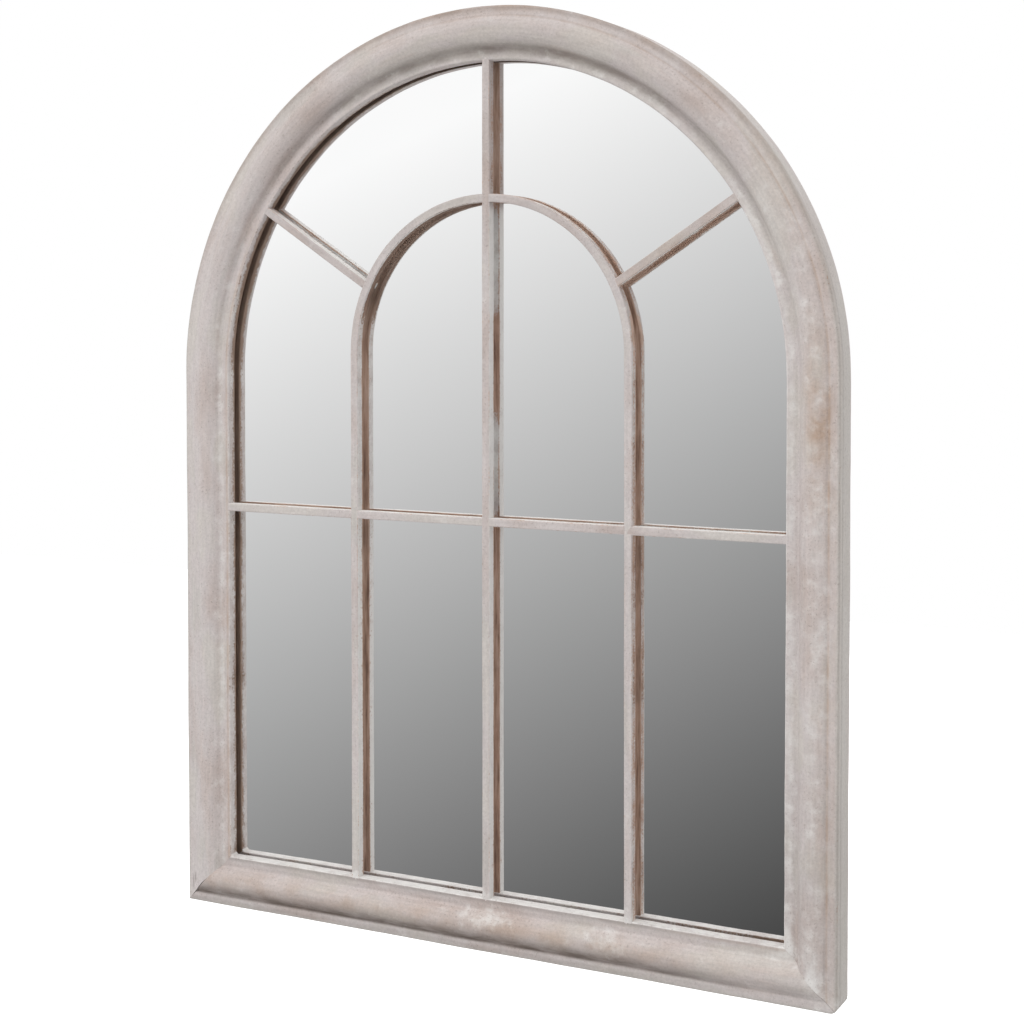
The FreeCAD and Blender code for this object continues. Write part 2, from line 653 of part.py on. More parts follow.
for feature in doc.Objects:
    if "Invalid" in feature.State or "Error" in feature.State:
        raise RuntimeError(f"{feature.Name} is in state {feature.State}")

os.makedirs("parts", exist_ok=True)
for name, feature in NODES.items():
    feature.Label = name
    shape = feature.Shape
    if shape.isNull() or not shape.isValid() or not shape.Solids:
        raise RuntimeError(f"{name} has no valid shape")
    shape.exportStep(f"parts/{name}.step")
    box = shape.BoundBox
    edges = (box.XMin, box.XMax, box.YMin, box.YMax, box.ZMin, box.ZMax)
    print(name, len(shape.Solids), round(shape.Volume), [round(edge, 1) for edge in edges])
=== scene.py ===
import bpy
import math
import numpy as np
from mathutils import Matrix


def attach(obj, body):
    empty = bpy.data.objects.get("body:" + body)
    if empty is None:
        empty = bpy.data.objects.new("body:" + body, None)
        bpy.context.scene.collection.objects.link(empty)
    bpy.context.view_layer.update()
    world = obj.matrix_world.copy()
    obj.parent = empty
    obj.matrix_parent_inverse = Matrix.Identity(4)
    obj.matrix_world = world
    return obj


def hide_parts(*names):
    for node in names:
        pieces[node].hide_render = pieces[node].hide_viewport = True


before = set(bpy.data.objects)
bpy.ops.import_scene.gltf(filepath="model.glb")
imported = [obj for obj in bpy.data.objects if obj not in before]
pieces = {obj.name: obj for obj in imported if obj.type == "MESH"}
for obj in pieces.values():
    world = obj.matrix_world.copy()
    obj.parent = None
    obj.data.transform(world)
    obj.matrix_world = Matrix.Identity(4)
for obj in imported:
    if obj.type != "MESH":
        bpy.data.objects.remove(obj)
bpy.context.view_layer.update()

# Frame members
# Two stiles and a bottom rail meet in mitres, and two haunches and a crown close the arched head.
# All six are planed to one moulding in softwood, dowelled and nailed, then whitewashed and rubbed.
MM = 0.001
ARCH_RADIUS = 345.0
STILE_DROP = 545.0
HAUNCH_ANGLE = 45.0
GRAIN_RADIUS = 320.0
STATION_STEP = 4.0
BAND_DEPTH = 30.0
FRONT_ZONE = 23.0
BACK_ZONE = 15.0
MITRE_GAP = 1.3
MITRE_GAP_PLACE = 15.0
MITRE_GAP_REACH = 10.0
CLOSED_MITRE_SHARE = 0.1
FOOT_ROUND = 7.0
CRACKS = ((6.5, 525.0, 6.0), (9.5, 521.0, 4.0))
TORUS_POINTS = ((11.2, 28.9), (24.25, 35.0), (37.2, 25.3))
CLOGGED = (4.0, 17.0)
LIP_BACK = 14.3
RAIL_LIP_BACK = 13.4
OUTER_ARRISES = ((0.5, 29.5), (0.0, 0.5))
LIP_ARRISES = ((49.4, 25.0),)
RIGHT_SCORES = ((1.0, 29.0), (0.0, 22.0))


def straight_run(start, end, count):
    """Points on a straight line from start, stopping short of end."""
    share = np.linspace(0.0, 1.0, count, endpoint=False)[:, None]
    return np.array(start) + share * (np.array(end) - np.array(start))


def round_run(centre, radius, begin, end, count):
    """Points on a circle from one angle, stopping short of another, in degrees."""
    turn = np.radians(np.linspace(begin, end, count, endpoint=False))
    return np.array(centre) + radius * np.column_stack((np.cos(turn), np.sin(turn)))


def torus_run(points, count):
    """Points on the circle through three points, from the first, stopping short of the last."""
    first, middle, last = (np.array(point) for point in points)
    sides = 2.0 * np.array([middle - first, last - middle])
    squares = np.array([middle @ middle - first @ first, last @ last - middle @ middle])
    centre = np.linalg.solve(sides, squares)
    angles = [math.degrees(math.atan2(*(point - centre)[::-1])) for point in (first, last)]
    return round_run(centre, np.linalg.norm(first - centre), *angles, count)


def moulding_outline(lip_back):
    """The closed moulding outline in mm, as inset from the outer edge and depth from the back: outer
    side, eased arris, flat band, fine groove, torus, hollow, lip with an eased arris, then the
    lip's inner side, the rabbet and the flat back."""
    return np.vstack((
        straight_run((0.0, 0.0), (0.0, 27.6), 10),
        round_run((2.4, 27.6), 2.4, 180, 90, 7),
        straight_run((2.4, BAND_DEPTH), (7.8, 29.9), 8),
        round_run((7.8, 28.2), 1.7, 90, 35, 5),
        round_run((10.2, 29.5), 0.9, 215, 300, 4),
        torus_run(TORUS_POINTS, 48),
        round_run((39.9, 27.0), 3.0, 212, 279, 6),
        straight_run((40.4, 24.05), (48.0, 25.4), 10),
        round_run((48.3, 23.7), 1.7, 100, 0, 8),
        straight_run((50.0, 23.7), (50.0, lip_back + 1.0), 9),
        round_run((49.0, lip_back + 1.0), 1.0, 0, -90, 4),
        straight_run((49.0, lip_back), (38.0, lip_back - 0.4), 5),
        straight_run((38.0, lip_back - 0.4), (38.0, 0.0), 5),
        straight_run((38.0, 0.0), (0.0, 0.0), 8),
    ))


def nearness(outline, marks, reach):
    """How near each outline point is to the nearest mark: 1 at the mark, fading over the reach."""
    gaps = np.linalg.norm(outline[:, None] - np.array(marks)[None], axis=2).min(axis=1)
    return np.exp(-(gaps / reach) ** 2)


def unevenness(length, phase):
    """A slow hand-made waver along a length in mm: four sines of unlike wavelengths, about 1 high."""
    waves = ((310.0, 0.45), (127.0, 0.3), (53.0, 0.16), (23.0, 0.09))
    return sum(size * np.sin(2 * np.pi * length / wave + phase * (number + 1.7))
               for number, (wave, size) in enumerate(waves))


def perimeter_lengths(outline):
    """Distance round a closed outline at each point, with the full length appended."""
    steps = np.linalg.norm(np.roll(outline, -1, axis=0) - outline, axis=1)
    return np.concatenate(([0.0], np.cumsum(steps)))


def carried_solid(name, points, along, across, fields):
    """A closed solid in metres from rows of like outlines in mm: each outline is joined to the next
    by quads and the two end outlines are capped. The Grain map holds the length along the path and
    the length round the outline, and the fields become point attributes."""
    rows, columns = points.shape[:2]
    index = np.arange(rows * columns).reshape(rows, columns)
    beside = np.roll(index, -1, axis=1)
    quads = np.stack((index[:-1], beside[:-1], beside[1:], index[1:]), axis=-1).reshape(-1, 4)
    caps = [index[0][::-1], index[-1]]
    flat = points.reshape(-1, 3) * MM
    length = np.broadcast_to(along, (rows, columns))
    ahead = np.roll(length, -1, axis=1)
    grain_u = np.stack((length[:-1], ahead[:-1], ahead[1:], length[1:]), axis=-1).reshape(-1, 4)
    here = np.broadcast_to(across[:-1], (rows - 1, columns))
    there = np.broadcast_to(across[1:], (rows - 1, columns))
    grain_v = np.stack((here, there, there, here), axis=-1).reshape(-1, 4)
    corners = flat[quads] - flat.mean(axis=0)
    diagonal = np.cross(corners[:, 2] - corners[:, 0], corners[:, 3] - corners[:, 1])
    if np.einsum("ij,ij->", corners.mean(axis=1), diagonal) < 0:
        quads, grain_u, grain_v = quads[:, ::-1], grain_u[:, ::-1], grain_v[:, ::-1]
        caps = [cap[::-1] for cap in caps]
    mesh = bpy.data.meshes.new(name)
    mesh.from_pydata(flat.tolist(), [], quads.tolist() + [cap.tolist() for cap in caps])
    cap_u = np.concatenate([length.reshape(-1)[cap] for cap in caps])
    cap_v = np.concatenate([across[cap % columns] for cap in caps])
    grain = np.column_stack((np.append(grain_u.reshape(-1), cap_u), np.append(grain_v.reshape(-1), cap_v)))
    layer = mesh.uv_layers.new(name="Grain")
    layer.data.foreach_set("uv", (grain * MM).ravel())
    for title, values in fields.items():
        attribute = mesh.attributes.new(title, "FLOAT", "POINT")
        attribute.data.foreach_set("value", np.broadcast_to(values, (rows, columns)).astype(float).ravel())
    mesh.shade_smooth()
    mesh.set_sharp_from_angle(angle=math.radians(38))
    mesh.update()
    piece = bpy.data.objects.new(name, mesh)
    bpy.context.scene.collection.objects.link(piece)
    return piece


def put(tree, kind, sockets=None, **settings):
    """A shader node with its settings, each socket given a value or linked from another socket."""
    node = tree.nodes.new(kind)
    for setting, value in settings.items():
        setattr(node, setting, value)
    for socket, value in (sockets or {}).items():
        if isinstance(value, bpy.types.NodeSocket):
            tree.links.new(value, node.inputs[socket])
        else:
            node.inputs[socket].default_value = value
    return node


def tone(red, green, blue):
    """A screen colour of 0 to 255 as linear light."""
    screen = np.array((red, green, blue)) / 255.0
    linear = np.where(screen > 0.04045, ((screen + 0.055) / 1.055) ** 2.4, screen / 12.92)
    return (*linear.tolist(), 1.0)


def blended(tree, share, under, over, mode="MIX"):
    """One colour over another by a share."""
    node = put(tree, "ShaderNodeMix", {0: share, 6: under, 7: over}, data_type="RGBA", blend_type=mode)
    return node.outputs[2]


def worked(tree, operation, first, second=0.0):
    """A sum, product or other operation on two values."""
    return put(tree, "ShaderNodeMath", {0: first, 1: second}, operation=operation).outputs[0]


def stepped(tree, value, low, high, out_low=0.0, out_high=1.0):
    """A smooth step of a value from one range to another."""
    node = put(tree, "ShaderNodeMapRange", {"Value": value, "From Min": low, "From Max": high,
                                            "To Min": out_low, "To Max": out_high},
               interpolation_type="SMOOTHSTEP")
    return node.outputs["Result"]


def speckle(tree, vector, scale, detail, roughness):
    """A noise value at a scale per metre."""
    node = put(tree, "ShaderNodeTexNoise", {"Vector": vector, "Scale": scale, "Detail": detail,
                                            "Roughness": roughness})
    return node.outputs["Fac"]


def stretched(tree, vector, scale, offset=(0.0, 0.0, 0.0)):
    """A coordinate scaled unlike along its axes, for grain and brush strokes."""
    return put(tree, "ShaderNodeMapping", {"Vector": vector, "Scale": scale, "Location": offset}).outputs[0]


def ramped(tree, value, stops):
    """A colour ramp over a value, from pairs of place and colour."""
    node = put(tree, "ShaderNodeValToRGB", {"Fac": value})
    first, last = node.color_ramp.elements
    first.position, first.color = stops[0]
    last.position, last.color = stops[-1]
    for place, colour in stops[1:-1]:
        node.color_ramp.elements.new(place).color = colour
    return node.outputs["Color"]


def greyed(tree, value):
    """A grey colour from a value."""
    return put(tree, "ShaderNodeCombineColor", {"Red": value, "Green": value, "Blue": value}).outputs[0]


def new_material(name):
    """A material with its node tree and its surface shader."""
    material = bpy.data.materials.new(name)
    material.use_nodes = True
    return material, material.node_tree, material.node_tree.nodes["Principled BSDF"]


def field(tree, name):
    """A point attribute of the piece."""
    return put(tree, "ShaderNodeAttribute", attribute_name=name).outputs["Fac"]


def whitewashed(name, shift, wood_tones):
    """Whitewash over softwood: cloudy patches of pink, cream and grey-green paint drawn out along the
    grain, sandy speckle, grime and painted shade in the hollows, white filler and painted light, and
    brown wood where arrises are rubbed or the wood was left bare, darkened by scuffs, stain and
    painted shade."""
    material, tree, surface = new_material(name)
    place = put(tree, "ShaderNodeMapping", {
        "Vector": put(tree, "ShaderNodeTexCoord").outputs["Object"], "Location": shift}).outputs[0]
    grain = put(tree, "ShaderNodeMapping", {
        "Vector": put(tree, "ShaderNodeUVMap", uv_map="Grain").outputs[0], "Location": shift}).outputs[0]
    clouds = speckle(tree, stretched(tree, grain, (9.0, 22.0, 1.0)), 1.0, 3.0, 0.55)
    paint = ramped(tree, clouds, (
        (0.32, tone(195, 182, 177)), (0.43, tone(204, 194, 191)), (0.52, tone(208, 200, 198)),
        (0.60, tone(206, 199, 194)), (0.70, tone(212, 206, 201))))
    brushed = speckle(tree, stretched(tree, grain, (11.0, 60.0, 1.0), (4.0, 2.0, 0.0)), 1.0, 4.0, 0.6)
    thin = stepped(tree, brushed, 0.52, 0.72, 0.0, 0.32)
    paint = blended(tree, thin, paint, tone(201, 184, 175))
    scuffs = speckle(tree, place, 34.0, 3.0, 0.6)
    tanned = worked(tree, "MULTIPLY", field(tree, "tan"), stepped(tree, scuffs, 0.33, 0.67, 0.4, 1.15))
    paint = blended(tree, tanned, paint, tone(186, 163, 147))
    mossy = speckle(tree, stretched(tree, grain, (9.0, 34.0, 1.0), (9.0, 5.0, 0.0)), 1.0, 3.0, 0.6)
    green = worked(tree, "MAXIMUM", stepped(tree, mossy, 0.56, 0.72, 0.0, 0.5),
                   worked(tree, "MULTIPLY", field(tree, "rim"), 0.7))
    paint = blended(tree, green, paint, tone(194, 190, 184))
    strokes = speckle(tree, stretched(tree, grain, (24.0, 330.0, 1.0)), 1.0, 4.0, 0.65)
    sand = speckle(tree, place, 380.0, 3.0, 0.75)
    flecks = speckle(tree, place, 190.0, 5.0, 0.72)
    shading = worked(tree, "MULTIPLY", stepped(tree, strokes, 0.28, 0.72, 0.935, 1.045),
                     stepped(tree, sand, 0.3, 0.7, 0.92, 1.06))
    paint = blended(tree, 1.0, paint, greyed(tree, shading), "MULTIPLY")
    settled = speckle(tree, stretched(tree, grain, (30.0, 90.0, 1.0)), 1.0, 3.0, 0.6)
    # Grime and painted shade: the hollow attribute darkens the paint in the hollows and, towards the top and
    # on the rail's downward-facing flank, stands in for shade.
    grime_and_shade = worked(tree, "MULTIPLY", field(tree, "hollow"), stepped(tree, settled, 0.3, 0.7, 0.62, 1.0))
    paint = blended(tree, grime_and_shade, paint, tone(104, 92, 84))
    wiped = speckle(tree, place, 75.0, 4.0, 0.65)
    # Whiter paint where filler was wiped on, and painted light: the whiter lip on the rail, the lighter valley
    # on the left stile and the lighter backs of the bars.
    smear_and_light = stepped(tree, worked(tree, "ADD", field(tree, "whitening"), worked(tree, "MULTIPLY", wiped, 1.4)),
                    0.8, 1.5, 0.0, 0.8)
    paint = blended(tree, smear_and_light, paint, tone(236, 234, 231))
    grit = speckle(tree, place, 520.0, 2.0, 0.6)
    specks = worked(tree, "MULTIPLY", stepped(tree, grit, 0.6, 0.7, 0.0, 0.42),
                    stepped(tree, clouds, 0.35, 0.65, 1.0, 0.3))
    paint = blended(tree, specks, paint, tone(126, 111, 101))

    bareness = worked(tree, "ADD", worked(tree, "MULTIPLY", field(tree, "wear"), 0.34),
                      worked(tree, "MULTIPLY", field(tree, "bare"), 0.75))
    roughed = worked(tree, "ADD", worked(tree, "MULTIPLY", flecks, 0.4), worked(tree, "MULTIPLY", scuffs, 0.5))
    roughed = worked(tree, "ADD", roughed, worked(tree, "MULTIPLY", strokes, 0.45))
    roughed = worked(tree, "ADD", roughed, worked(tree, "MULTIPLY", grit, 0.5))
    chips = stepped(tree, worked(tree, "ADD", bareness, roughed), 1.19, 1.39)
    wood = ramped(tree, strokes, tuple(zip((0.3, 0.5, 0.72), wood_tones)))
    # The bare wood is darkened by scuffs and stain, and by painted shade where the lip's side and the rabbet
    # face down towards the top.
    age_and_shade = worked(tree, "MAXIMUM", field(tree, "stain_and_shade"), stepped(tree, scuffs, 0.5, 0.72, 0.0, 0.2))
    wood = blended(tree, age_and_shade, wood, tone(56, 44, 36))
    tree.links.new(blended(tree, chips, paint, wood), surface.inputs["Base Color"])
    tree.links.new(stepped(tree, strokes, 0.3, 0.7, 0.58, 0.74), surface.inputs["Roughness"])
    surface.inputs["Specular IOR Level"].default_value = 0.25
    height = worked(tree, "ADD", worked(tree, "MULTIPLY", strokes, 0.5), worked(tree, "MULTIPLY", sand, 0.5))
    height = worked(tree, "SUBTRACT", height, worked(tree, "MULTIPLY", chips, 0.5))
    bump = put(tree, "ShaderNodeBump", {"Height": height, "Strength": 0.4, "Distance": 0.0004})
    tree.links.new(bump.outputs[0], surface.inputs["Normal"])
    return material


frame_paint = whitewashed("whitewashed_frame", (0.0, 0.0, 0.0),
                          (tone(136, 112, 97), tone(160, 135, 119), tone(182, 158, 143)))


def clogged_depth(inset):
    """The front's depth where paint has filled the groove: a cubic in the share of the way from band
    to torus, level where it leaves the band and at the torus's own slope where it meets it."""
    torus = torus_run(TORUS_POINTS, 200)
    start, end = CLOGGED
    share = np.clip((inset - start) / (end - start), 0, 1)
    last = np.interp(end, *torus.T)
    slope = (np.interp(end + 0.1, *torus.T) - last) * 10 * (end - start)
    drop = (last - BAND_DEPTH) * share ** 2 * (3 - 2 * share)
    return BAND_DEPTH + drop + slope * share ** 2 * (share - 1)


def foot_rounded(x, z):
    """Points of the frame with its bottom right corner rounded: the corner's square is drawn into a
    quarter disc, u to u times the root of 1 less half of v squared, and v the same way."""
    middle_x, middle_z = ARCH_RADIUS - FOOT_ROUND, FOOT_ROUND - STILE_DROP
    u, v = np.clip((x - middle_x) / FOOT_ROUND, 0, None), np.clip((middle_z - z) / FOOT_ROUND, 0, None)
    corner = (u > 0) & (v > 0)
    rounded_x = middle_x + FOOT_ROUND * u * np.sqrt(np.clip(1 - v ** 2 / 2, 0, 1))
    rounded_z = middle_z - FOOT_ROUND * v * np.sqrt(np.clip(1 - u ** 2 / 2, 0, 1))
    return np.where(corner, rounded_x, x), np.where(corner, rounded_z, z)


def frame_member(name, node, lip_back, along, path, rightward, topward, lip_rub, sill=0.0, whitening=0.0,
                 cracks=0.0):
    """A frame member: the moulding outline set at each station by the path, after a slight waver of
    its inset and of its front. Grime, painted shade and tan rubbing follow how far the station lies to
    the right and to the top; the painted shade darkens the torus valley, the lip's inner side and the
    rabbet towards the top, where they face down. The sill takes the whitest lip, partly painted light
    on its upward-facing side, and the darkest groove, partly painted shade on the torus's downward
    flank."""
    outline = moulding_outline(lip_back)
    inset, depth = outline.T
    waver_in = 0.28 * unevenness(along, 0.4)
    waver_out = 0.22 * unevenness(along, 2.1) * (depth > BACK_ZONE)
    x, z = foot_rounded(*path(inset + waver_in))
    clogged = (inset > CLOGGED[0]) & (inset < CLOGGED[1]) & (depth > FRONT_ZONE)
    filled = (1 - 0.35 * rightward) * (1 - sill) * clogged * (clogged_depth(inset) - depth)
    points = np.stack((x + 0 * along, -(depth + waver_out + filled), z + 0 * along), axis=-1)
    inner_side = (inset > 49.0) & (depth > lip_back + 0.7)
    behind = (depth < lip_back + 0.7) & (inset > 37.0)

    def band(middle, reach):
        """A soft stripe along the front, 1 at an inset and fading over the reach."""
        return np.exp(-((inset - middle) / reach) ** 2) * (depth > FRONT_ZONE)

    low_left = (1 - rightward) * (1 - topward) * (1 - sill)
    low_right = rightward * (1 - topward)
    sunk = np.clip((24.5 - depth) / 9.0, 0, 1) * inner_side
    # Painted shade: the torus valley is painted darker towards the top, where the torus's inner flank and the
    # lip face down; the little on the right is grime.
    valley_shade_and_grime = 0.03 * rightward + 0.74 * topward ** 1.5
    valley_stripe = np.where(inset < 39.3, band(39.3, 4.4), band(39.3, 3.2 + 4.8 * topward ** 3))
    # The rail's torus flank faces down: its broad dark stripe from the groove is stain and painted shade.
    flank_stripe = np.where(inset < 10.6, band(10.6, 1.5), band(10.6, 10.0))
    foot_grime = np.clip((-z - 300.0) / 120.0, 0, 1)
    handled = np.exp(-((z + 27.0) / 58.0) ** 2)
    fields = {
        "wear": (0.75 * nearness(outline, OUTER_ARRISES, 1.2)
                 + 0.6 * (1 - rightward) * nearness(outline, LIP_ARRISES, 0.9)),
        "hollow": (valley_shade_and_grime * valley_stripe
                   + sill * np.minimum(1.06 * flank_stripe, 0.93)
                   + sill * (0.36 * band(4.0, 3.5) + 0.44 * band(48.3, 2.6))
                   + cracks * band(9.0, 6.0)
                   + topward * (0.5 * band(0.0, 4.5) + 0.24 * band(20.0, 12.0))
                   + low_right * (0.2 * band(11.4, 1.2) + 0.3 * nearness(outline, RIGHT_SCORES, 1.0))
                   + 0.16 * rightward * foot_grime),
        "tan": (0.5 * rightward * band(9.8, 1.0)
                + topward * (0.6 * band(0.0, 5.0) + 0.14 * band(20.0, 12.0))
                + 0.6 * sill * band(26.0, 11.0)
                + low_left * (0.1 * band(43.0, 5.0) + 0.7 * band(47.5, 1.4))
                + 0.27 * low_right * band(6.0, 18.0)
                + rightward * (0.03 + 0.95 * handled) * band(20.0, 11.0)),
        "bare": np.where(behind, 0.8 - 0.45 * sill, lip_rub * (0.2 + sunk) * inner_side),
        # Painted shade over stain: the rabbet behind the lip and the lip's inner side are painted darker
        # towards the top, where they face down into shade.
        "stain_and_shade": np.where(behind, 0.08 + 0.6 * topward, 0.6 * topward * lip_rub * inner_side),
        "rim": np.clip(1.5 - inset / 2.5, 0, 1) * (depth > 2.0) * (1 - topward),
        # Filler and painted light and shade: the lip's inner side is whiter on the rail, where it faces up,
        # and less white towards the top, where it faces down, and the left stile's torus valley is painted
        # lighter; the rest is white filler.
        "whitening": (whitening * (depth > BACK_ZONE)
                   + (0.3 + 0.35 * sill - 0.3 * topward) * inner_side
                   + 0.34 * rightward * band(45.5, 4.5) + 0.25 * low_right * band(20.0, 14.0)
                   + 0.32 * low_left * band(40.0, 5.0)),
    }
    piece = carried_solid(name, points, along, perimeter_lengths(outline), fields)
    piece.data.materials.append(frame_paint)
    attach(piece, "frame")
    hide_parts(node)


def stations(length):
    """Even shares along a member, about one station step apart."""
    return np.linspace(0.0, 1.0, int(length / STATION_STEP) + 1)[:, None]


arc_length = math.pi * GRAIN_RADIUS
member_inset = moulding_outline(LIP_BACK)[:, 0]
for side, word in ((-1, "left"), (1, "right")):
    openness = MITRE_GAP * np.exp(-((member_inset - MITRE_GAP_PLACE) / MITRE_GAP_REACH) ** 4)
    foot = member_inset - STILE_DROP + openness * (CLOSED_MITRE_SHARE if side > 0 else 1.0)
    rise = foot * (1 - stations(STILE_DROP))
    along = STILE_DROP + rise if side < 0 else STILE_DROP + arc_length - rise
    cracks = sum(np.exp(-((member_inset - place) / 0.7) ** 2 - ((rise + level) / reach) ** 4)
                 for place, level, reach in CRACKS) * (side < 0)
    frame_member(f"moulded_{word}_stile", f"{word}_stile", LIP_BACK, along,
                 lambda inward: (side * (ARCH_RADIUS - inward), rise), (side + 1) / 2, 0.0, 0.52,
                 whitening=0.25 * (side > 0) * np.exp(-((rise - foot) / 22.0) ** 2), cracks=cracks)

rail_x = (ARCH_RADIUS - member_inset) * (2 * stations(2 * ARCH_RADIUS) - 1)
# The rail's stain fades to the right, and with it the painted shade on its torus flank and the painted light
# on its lip.
rail_stain_shade_and_light = 1.0 - 0.65 * np.clip((rail_x - 150.0) / 130.0, 0, 1)
smudges = sum(np.exp(-((rail_x - middle) / spread) ** 2 - ((member_inset - level) / 13.0) ** 2)
              for middle, spread, level in ((0.0, 30.0, 34.0), (126.0, 24.0, 32.0)))
mitre_filler = 0.6 * np.exp(-((ARCH_RADIUS - member_inset - rail_x) / 22.0) ** 2)
frame_member("moulded_bottom_rail", "bottom_rail", RAIL_LIP_BACK, rail_x + 4 * ARCH_RADIUS + arc_length,
             lambda inward: (rail_x, inward - STILE_DROP), 0.0, 0.0, 0.0, rail_stain_shade_and_light,
             0.42 * (smudges + mitre_filler))

for word, begin, end in (("right_haunch", 0.0, HAUNCH_ANGLE), ("crown", HAUNCH_ANGLE, 180 - HAUNCH_ANGLE),
                         ("left_haunch", 180 - HAUNCH_ANGLE, 180.0)):
    turn = np.radians(begin + (end - begin) * stations(GRAIN_RADIUS * math.radians(end - begin)))
    along = STILE_DROP + arc_length - GRAIN_RADIUS * turn + 0 * member_inset
    frame_member(f"moulded_{word}", word, LIP_BACK, along,
                 lambda inward: ((ARCH_RADIUS - inward) * np.cos(turn), (ARCH_RADIUS - inward) * np.sin(turn)),
                 0.5 + 0.5 * np.cos(turn), np.sin(turn),
                 0.15 + 0.6 * np.exp(-((np.degrees(turn) - 150.0) / 45.0) ** 2))

# Corner filler
# Whitewash gathered in the two bottom corners of the lip, where it has dried to a small cove.
APERTURE = 295.0
SILL = -495.0
COVE = 6.0
for side, word in ((-1, "left"), (1, "right")):
    cove = round_run((-(APERTURE + 0.8 - COVE), SILL - 0.8 + COVE), COVE, 180, 270, 9)
    cove = np.vstack((cove, (-(APERTURE + 0.8 - COVE), SILL - 0.8), (-APERTURE - 0.8, SILL - 0.8)))
    levels = np.linspace(15.2, 24.3, 8)[:, None]
    corner_x = side * -(cove[:, 0] + 0 * levels)
    corner_points = np.stack((corner_x, -levels + 0 * corner_x, cove[:, 1] + 0 * levels), axis=-1)
    corner_fields = {name: 0.0 for name in ("wear", "hollow", "tan", "bare", "stain_and_shade", "rim")}
    corner_fields["whitening"] = 0.55
    corner_piece = carried_solid(f"{word}_corner_filler", corner_points, levels + 5000.0,
                                 perimeter_lengths(cove), corner_fields)
    corner_piece.data.materials.append(frame_paint)
    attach(corner_piece, "frame")

# Lattice bars
# Thin softwood strips, halved where they cross, let into the lip and pinned. Fronts and sides are
# whitewashed with the frame, and the backs that face the glass stay mostly bare and brown.
BAR_WIDTH = 7.8
BAR_FRONT = 25.4
BAR_BACK = 15.6
BAR_EASE = 0.8
SIDE_PITCH = 145.5
RIGHT_BAR_SET = 0.9
TRANSOM_LEVEL = -137.5
INNER_ARCH_RISE = 21.5
RADIAL_ANGLE = 33.0
RADIAL_START = 157.0
LIP_REACH = 296.3
SILL_LEVEL = -496.3
BAR_STEP = 3.0
# The bars' bare wood is lighter and more golden than the frame's; the lightness is painted light that offsets
# the shade in the narrow gap between their backs and the mirror.
bar_paint = whitewashed("whitewashed_bars", (3.1, 1.7, 0.6),
                        (tone(131, 101, 86), tone(186, 153, 134), tone(216, 190, 174)))


def bar_outline(front):
    """The bar's closed outline in mm, as offset across the bar and depth from the back: a rectangle
    with eased corners, walked from the front edge round the left side, the back and the right."""
    half = BAR_WIDTH / 2
    near, far = front - BAR_EASE, BAR_BACK + BAR_EASE
    edge = half - BAR_EASE
    return np.vstack((
        straight_run((edge, front), (-edge, front), 6),
        round_run((-edge, near), BAR_EASE, 90, 180, 4),
        straight_run((-half, near), (-half, far), 7),
        round_run((-edge, far), BAR_EASE, 180, 270, 4),
        straight_run((-edge, BAR_BACK), (edge, BAR_BACK), 6),
        round_run((edge, far), BAR_EASE, 270, 360, 4),
        straight_run((half, far), (half, near), 7),
        round_run((edge, near), BAR_EASE, 0, 90, 4),
    ))


def lattice_bar(name, node, path, length, front, along_start, side_bare, back_bare=lambda x, z: 1.0 + 0 * z,
                back_dusk=lambda x, z: 0 * z, front_tan=0.0, arris_rub=lambda x, z: 0 * z):
    """A bar: its outline set at each station by the path, which gives x and z from the share of the
    length and the offset across the bar. Its sides lose their paint towards the back, sooner where
    the arris is rubbed. How bare the sides, back and arris are and how dark the back is follow from
    x and z."""
    outline = bar_outline(front)
    offset, deep = outline.T
    share = np.linspace(0.0, 1.0, int(length / BAR_STEP) + 1)[:, None]
    along = along_start + length * share + 0 * offset
    x, z = path(share, offset * (1 + 0.03 * unevenness(along, 1.3)))
    y = -(deep + 0.12 * unevenness(along, 0.9))
    x, z = x + 0 * y, z + 0 * y
    half = BAR_WIDTH / 2
    corners = ((-half, front), (half, front), (-half, BAR_BACK), (half, BAR_BACK))
    rubbed = arris_rub(x, z)
    above_arch = np.clip((z - 160.0) / 20.0, 0, 1)
    below_arch = np.clip((170.0 - z) / 20.0, 0, 1)
    fields = {
        "wear": nearness(outline, corners, 0.9),
        "hollow": 0.04 + 0.12 * np.clip((z - 60.0) / 60.0, 0, 1),
        "bare": np.maximum(np.clip((BAR_BACK + 3.0 - deep) / 3.0, 0, 1) * 0.9 * back_bare(x, z),
                           side_bare(x, z) * np.clip((front - 0.8 - deep) / (3.0 - 1.5 * rubbed), 0, 1)),
        "stain_and_shade": back_dusk(x, z),
        "rim": np.zeros(len(outline)),
        "tan": 0.1 * above_arch + front_tan,
        # The painted stretches of the backs are painted whiter still: painted light against the shade in the
        # gap before the mirror.
        "whitening": (0.6 * np.exp(-((z - SILL_LEVEL) / 9.0) ** 2)
                   + (0.04 + (0.71 - 0.45 * rubbed) * (np.abs(offset) > half - 0.1)) * below_arch
                   + 0.6 * (1.0 - back_bare(x, z)) * (deep < BAR_BACK + 1.0)),
    }
    piece = carried_solid(name, np.stack((x, y, z), axis=-1), along, perimeter_lengths(outline), fields)
    piece.data.materials.append(bar_paint)
    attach(piece, "frame")
    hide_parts(node)


def straight_path(start, end):
    """A straight path from start to end in x and z, with offsets square to it."""
    start, end = np.array(start), np.array(end)
    step = (end - start) / np.linalg.norm(end - start)
    return lambda share, offset: (start[0] + share * (end[0] - start[0]) + offset * step[1],
                                  start[1] + share * (end[1] - start[1]) - offset * step[0])


def arch_path(share, offset):
    """The half circle of the inner arch from right to left, with offsets along its radius."""
    turn = np.pi * share
    radius = SIDE_PITCH + offset
    return radius * np.cos(turn), INNER_ARCH_RISE + radius * np.sin(turn)


